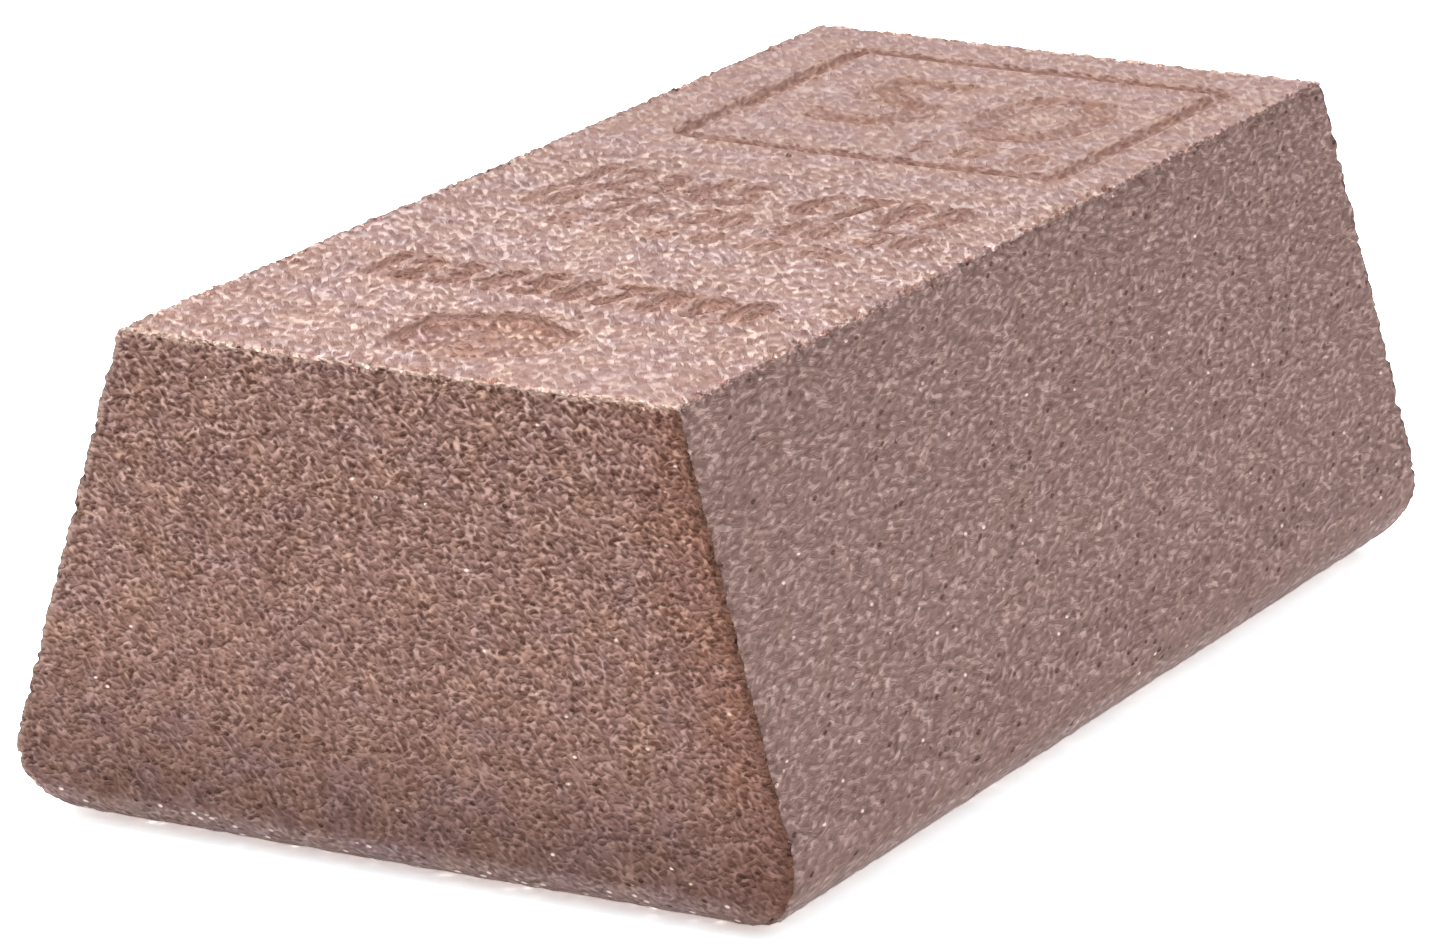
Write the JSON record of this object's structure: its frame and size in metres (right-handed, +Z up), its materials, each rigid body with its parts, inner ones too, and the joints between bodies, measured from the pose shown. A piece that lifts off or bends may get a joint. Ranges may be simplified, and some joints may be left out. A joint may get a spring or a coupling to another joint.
{
  "type": "copper ingot",
  "caption": "Small loaf-shaped cast copper ingot: leaning long sides, upright ends, a wide pour face with round edges and a flat, crisp marked face.",
  "frame": {"origin": "middle of the wide pour face, on which the ingot lies", "axes": "+Z up, out of the narrow marked face; +Y along the ingot, from the cartouche towards the square border; +X across it"},
  "size_m": [0.0496, 0.0874, 0.0296],
  "materials": {
    "copper": "coarse grit-blasted copper, matte, pinkish brown"
  },
  "bodies": {
    "root": {"ingot": "copper"}
  },
  "joints": []
}
